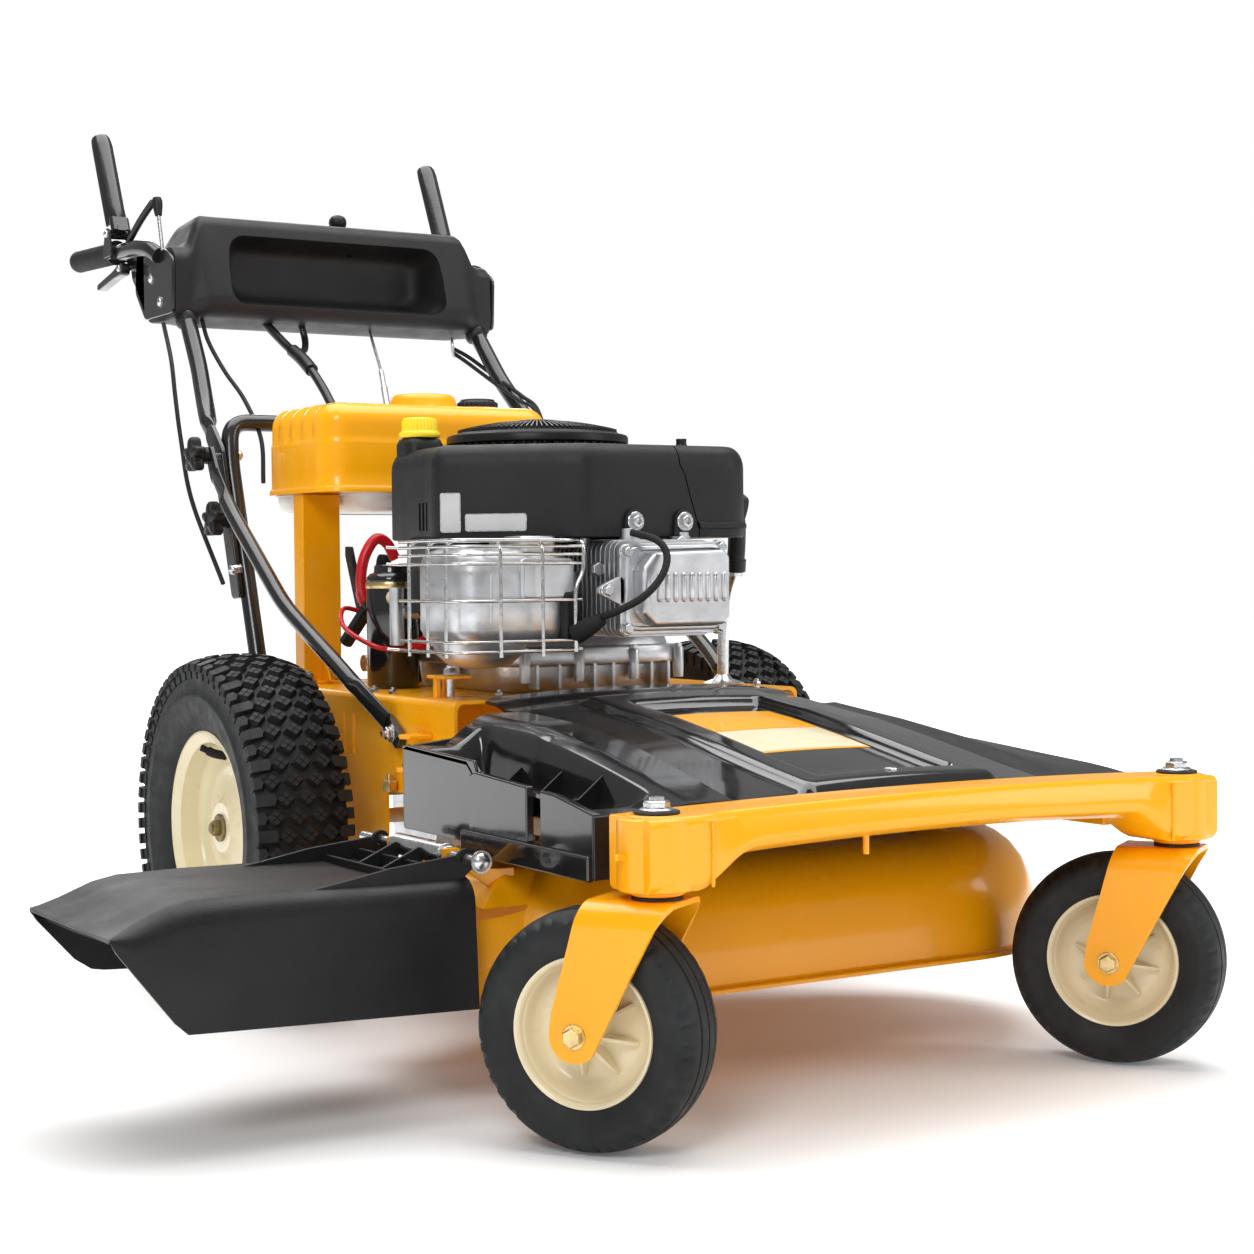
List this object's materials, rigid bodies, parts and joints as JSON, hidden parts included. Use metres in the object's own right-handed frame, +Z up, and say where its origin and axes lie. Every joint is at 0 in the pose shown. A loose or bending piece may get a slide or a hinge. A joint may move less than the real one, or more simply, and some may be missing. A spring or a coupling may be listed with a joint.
{
  "type": "walk-behind mower",
  "caption": "Wide walk-behind rotary mower: caster front beam, side-discharge deck, vertical-shaft engine, driven rear wheels and a folding handlebar with console.",
  "frame": {"origin": "on the ground, under the middle of the overall footprint", "axes": "+Z up, -Y towards the front of the machine, +X towards the operator's left; the chute is on -X"},
  "size_m": [1.151, 1.7558, 1.1779],
  "materials": {
    "yellow": "gloss",
    "gloss_black": "gloss",
    "black": "satin",
    "tube_black": "satin",
    "rubber": "matte",
    "tyre": "matte",
    "cream": "gloss",
    "cast": "cast",
    "steel": "satin",
    "white": "translucent moulding, shown plain",
    "red": "satin",
    "cap_yellow": "gloss"
  },
  "bodies": {
    "chassis": {"main_frame": "yellow", "front_beam": "yellow", "centre_cover": "gloss_black", "cover_right": "gloss_black", "cover_left": "gloss_black", "fuel_tank": "white", "tank_cover": "yellow", "fuel_cap": "black", "crankcase": "cast", "valve_cover": "cast", "engine_shroud": "black", "air_cleaner_cover": "black", "muffler": "steel", "muffler_guard": "steel", "spark_lead": "rubber", "oil_cap": "cap_yellow", "starter_motor": "black", "battery": "black", "battery_cable": "red", "transaxle": "cast", "drive_belt": "rubber", "lower_handle": "tube_black", "upper_tube_right": "tube_black", "upper_tube_left": "tube_black", "brace_right": "tube_black", "brace_left": "tube_black", "console": "black", "grip_right": "rubber", "grip_left": "rubber", "clutch_rod_right": "steel"},
    "crank": {"crankshaft": "steel", "engine_screen": "black"},
    "deck": {"deck_shell": "yellow", "deck_belt": "rubber"},
    "chute": {"chute": "black"},
    "shift_lever": {"shift_lever": "black"},
    "throttle_lever": {"throttle_lever": "black"},
    "ignition_key": {"ignition_key": "steel"},
    "choke_knob": {"choke_knob": "black"},
    "height_lever": {"height_lever": "black"},
    "caster_right": {"caster_fork_right": "yellow"},
    "caster_wheel_right": {"caster_tyre_right": "tyre", "caster_rim_right": "cream"},
    "rear_wheel_right": {"rear_tyre_right": "tyre", "rear_rim_right": "cream"},
    "blade_right": {"blade_right": "steel"},
    "clutch_lever_right": {"clutch_lever_right": "tube_black"},
    "steering_trigger_right": {"steering_trigger_right": "tube_black"},
    "star_knob_right_upper": {"star_knob_right_upper": "black"},
    "star_knob_right_lower": {"star_knob_right_lower": "black"},
    "caster_left": {"caster_fork_left": "yellow"},
    "caster_wheel_left": {"caster_tyre_left": "tyre", "caster_rim_left": "cream"},
    "rear_wheel_left": {"rear_tyre_left": "tyre", "rear_rim_left": "cream"},
    "blade_left": {"blade_left": "steel"},
    "clutch_lever_left": {"clutch_lever_left": "tube_black"},
    "steering_trigger_left": {"steering_trigger_left": "tube_black"},
    "star_knob_left_upper": {"star_knob_left_upper": "black"},
    "star_knob_left_lower": {"star_knob_left_lower": "black"}
  },
  "joints": [
    {"name": "crank_spin", "type": "hinge", "parent": "chassis", "child": "crank", "pos_m": [0.1705, -0.06072, 0.3], "axis": [0, 0, 1], "continuous": true},
    {"name": "height_lever_swing", "type": "hinge", "parent": "chassis", "child": "height_lever", "pos_m": [0.0305, 0.13728, 0.402], "axis": [1, 0, 0], "range_deg": [-26, 0]},
    {"name": "deck_lift", "type": "slide", "parent": "chassis", "child": "deck", "axis": [0, 0, 1], "range_m": [-0.045, 0], "deforming": ["deck_belt"]},
    {"name": "chute_flip", "type": "hinge", "parent": "deck", "child": "chute", "pos_m": [-0.2205, -0.50372, 0.246], "axis": [0, 1, 0], "range_deg": [0, 75]},
    {"name": "shift_swing", "type": "hinge", "parent": "chassis", "child": "shift_lever", "pos_m": [0.2105, 0.61128, 0.975], "axis": [1, 0, 0], "range_deg": [-20, 20]},
    {"name": "throttle_swing", "type": "hinge", "parent": "chassis", "child": "throttle_lever", "pos_m": [0.0205, 0.64628, 0.985], "axis": [1, 0, 0], "range_deg": [-20, 20]},
    {"name": "key_turn", "type": "hinge", "parent": "chassis", "child": "ignition_key", "pos_m": [0.2605, 0.67528, 0.96], "axis": [0, 1, 0], "range_deg": [0, 90]},
    {"name": "choke_pull", "type": "slide", "parent": "chassis", "child": "choke_knob", "axis": [0, 1, 0], "range_m": [0, 0.02]},
    {"name": "caster_swivel_right", "type": "hinge", "parent": "chassis", "child": "caster_right", "pos_m": [-0.1485, -0.82672, 0.268], "axis": [0, 0, 1], "continuous": true},
    {"name": "caster_roll_right", "type": "hinge", "parent": "caster_right", "child": "caster_wheel_right", "pos_m": [-0.18172, -0.77556, 0.11], "axis": [0.8387, 0.5446, 0], "continuous": true},
    {"name": "rear_roll_right", "type": "hinge", "parent": "chassis", "child": "rear_wheel_right", "pos_m": [-0.1755, 0.07128, 0.211], "axis": [1, 0, 0], "continuous": true},
    {"name": "blade_spin_right", "type": "hinge", "parent": "deck", "child": "blade_right", "pos_m": [-0.0145, -0.46872, 0.2], "axis": [0, 0, 1], "continuous": true},
    {"name": "clutch_squeeze_right", "type": "hinge", "parent": "chassis", "child": "clutch_lever_right", "pos_m": [-0.0995, 0.70328, 1.018], "axis": [-1, 0, 0], "range_deg": [0, 60], "stiffness_Nm_per_rad": 1.5, "springref_deg": -17.19},
    {"name": "trigger_squeeze_right", "type": "hinge", "parent": "chassis", "child": "steering_trigger_right", "pos_m": [-0.1005, 0.67528, 0.965], "axis": [1, 0, 0], "range_deg": [0, 12], "stiffness_Nm_per_rad": 1.5, "springref_deg": -17.19},
    {"name": "star_knob_turn_right_upper", "type": "hinge", "parent": "chassis", "child": "star_knob_right_upper", "pos_m": [-0.1195, 0.33328, 0.676], "axis": [1, 0, 0], "continuous": true},
    {"name": "star_knob_turn_right_lower", "type": "hinge", "parent": "chassis", "child": "star_knob_right_lower", "pos_m": [-0.1195, 0.30528, 0.59], "axis": [1, 0, 0], "continuous": true},
    {"name": "caster_swivel_left", "type": "hinge", "parent": "chassis", "child": "caster_left", "pos_m": [0.4895, -0.82672, 0.268], "axis": [0, 0, 1], "continuous": true},
    {"name": "caster_roll_left", "type": "hinge", "parent": "caster_left", "child": "caster_wheel_left", "pos_m": [0.45628, -0.77556, 0.11], "axis": [0.8387, 0.5446, 0], "continuous": true},
    {"name": "rear_roll_left", "type": "hinge", "parent": "chassis", "child": "rear_wheel_left", "pos_m": [0.5165, 0.07128, 0.211], "axis": [1, 0, 0], "continuous": true},
    {"name": "blade_spin_left", "type": "hinge", "parent": "deck", "child": "blade_left", "pos_m": [0.3555, -0.46872, 0.2], "axis": [0, 0, 1], "continuous": true},
    {"name": "clutch_squeeze_left", "type": "hinge", "parent": "chassis", "child": "clutch_lever_left", "pos_m": [0.4405, 0.70328, 1.018], "axis": [-1, 0, 0], "range_deg": [0, 60], "stiffness_Nm_per_rad": 1.5, "springref_deg": -17.19},
    {"name": "trigger_squeeze_left", "type": "hinge", "parent": "chassis", "child": "steering_trigger_left", "pos_m": [0.4415, 0.67528, 0.965], "axis": [1, 0, 0], "range_deg": [0, 12], "stiffness_Nm_per_rad": 1.5, "springref_deg": -17.19},
    {"name": "star_knob_turn_left_upper", "type": "hinge", "parent": "chassis", "child": "star_knob_left_upper", "pos_m": [0.4605, 0.33328, 0.676], "axis": [1, 0, 0], "continuous": true},
    {"name": "star_knob_turn_left_lower", "type": "hinge", "parent": "chassis", "child": "star_knob_left_lower", "pos_m": [0.4605, 0.30528, 0.59], "axis": [1, 0, 0], "continuous": true}
  ],
  "couplings": [
    {"joint": "height_lever_swing", "follows": "deck_lift", "rad_per_m": 10.084},
    {"joint": "blade_spin_right", "follows": "crank_spin", "ratio": 1},
    {"joint": "blade_spin_left", "follows": "crank_spin", "ratio": 1}
  ]
}
